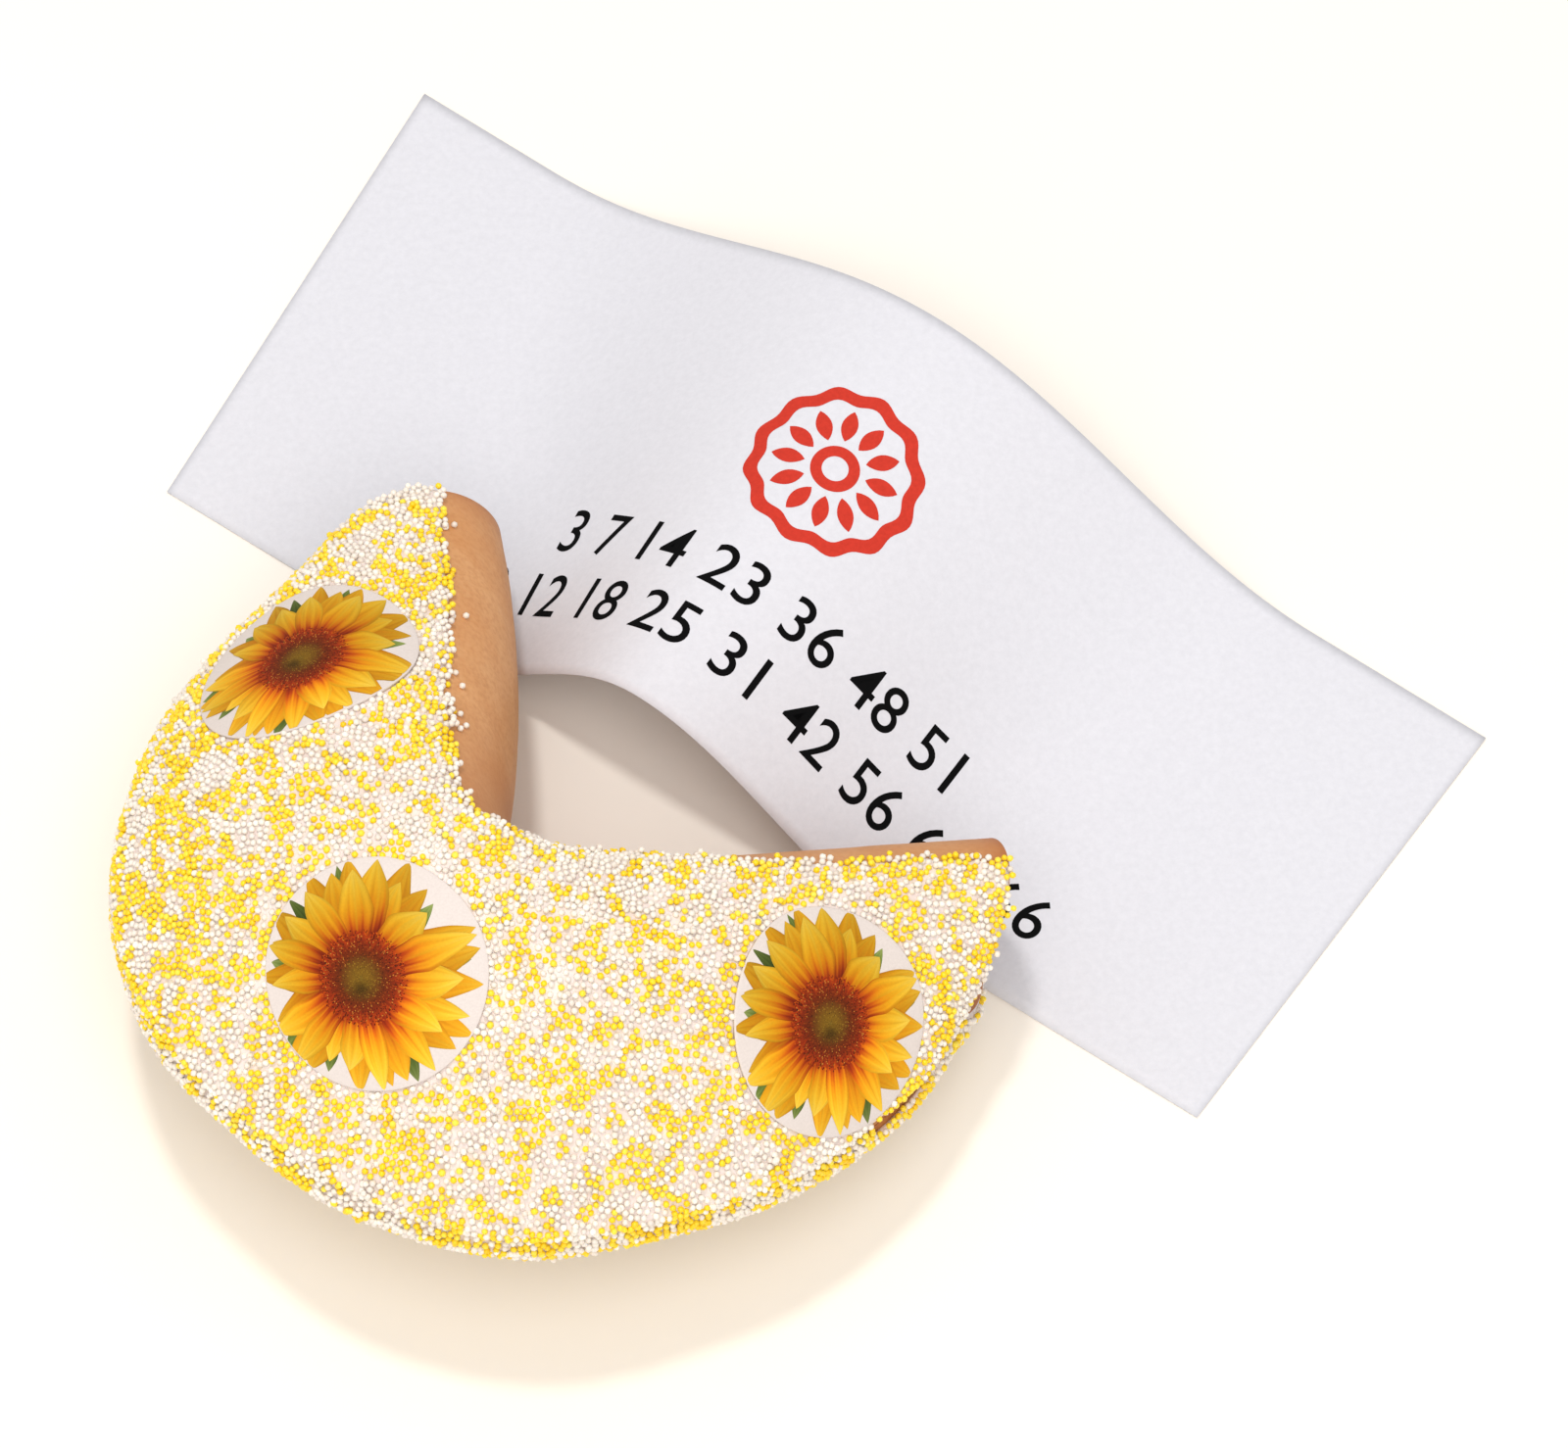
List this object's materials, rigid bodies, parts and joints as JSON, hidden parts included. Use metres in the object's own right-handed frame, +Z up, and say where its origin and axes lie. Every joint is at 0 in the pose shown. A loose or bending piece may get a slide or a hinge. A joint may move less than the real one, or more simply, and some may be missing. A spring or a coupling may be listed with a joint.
{
  "type": "fortune cookie",
  "caption": "Very large folded fortune cookie with sugar coated cheeks, printed flower discs and a long paper slip arched behind it.",
  "frame": {"origin": "middle of the whole object's bounding box in plan, on the table that the cookie and the slip rest on", "axes": "+Z up from the table, +X towards the right wing's mouth, +Y towards the far wing's mouth and the slip"},
  "size_m": [0.2791, 0.2918, 0.0905],
  "materials": {
    "biscuit": "dry baked wafer",
    "sugar_front": "icing under sugar beads",
    "sugar_back": "icing under sugar beads",
    "print_far": "matt edible print",
    "print_middle": "matt edible print",
    "print_right": "matt edible print",
    "paper": "plain matt paper"
  },
  "bodies": {
    "root": {"cookie_shell": "biscuit", "coat_front": "sugar_front", "coat_back": "sugar_back", "sugar_disc_far": "print_far", "sugar_disc_middle": "print_middle", "sugar_disc_right": "print_right", "fortune_slip": "paper"}
  },
  "joints": []
}
